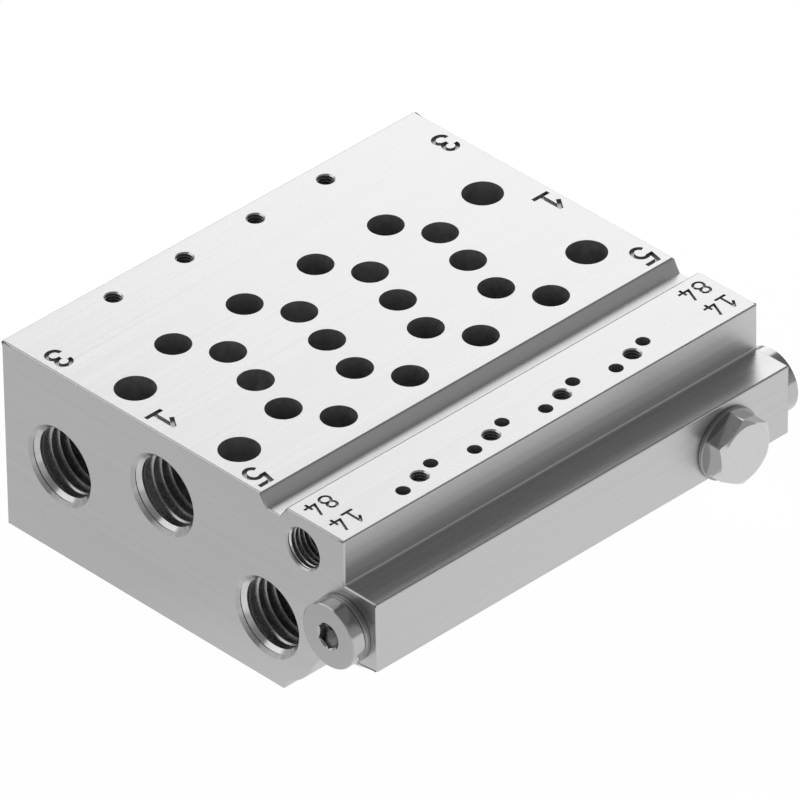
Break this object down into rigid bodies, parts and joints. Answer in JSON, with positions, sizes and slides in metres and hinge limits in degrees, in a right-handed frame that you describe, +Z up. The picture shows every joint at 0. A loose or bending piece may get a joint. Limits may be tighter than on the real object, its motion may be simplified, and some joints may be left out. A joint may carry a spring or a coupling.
{
  "type": "valve manifold base",
  "caption": "Rectangular metal block that carries a row of pneumatic valves and feeds them through drilled ducts, with threaded end ports, a pilot nose and screw plugs.",
  "frame": {"origin": "centre of the four mounting holes, on the bottom face", "axes": "+X along the row of valves towards the end with the side plug, -Y towards the pilot nose, +Z up out of the valve face"},
  "size_m": [0.12, 0.1088, 0.0433],
  "materials": {
    "block": "milled faces with fine straight tool marks, clear anodised satin",
    "plug": "turned and nickel plated, smooth",
    "seal": "plain flat ring, matt"
  },
  "bodies": {
    "root": {"manifold_block": "block", "near_pilot_plug": "plug", "near_plug_seal": "seal", "far_pilot_plug": "plug", "far_plug_seal": "seal", "side_hex_plug": "plug", "side_plug_seal": "seal"}
  },
  "joints": []
}
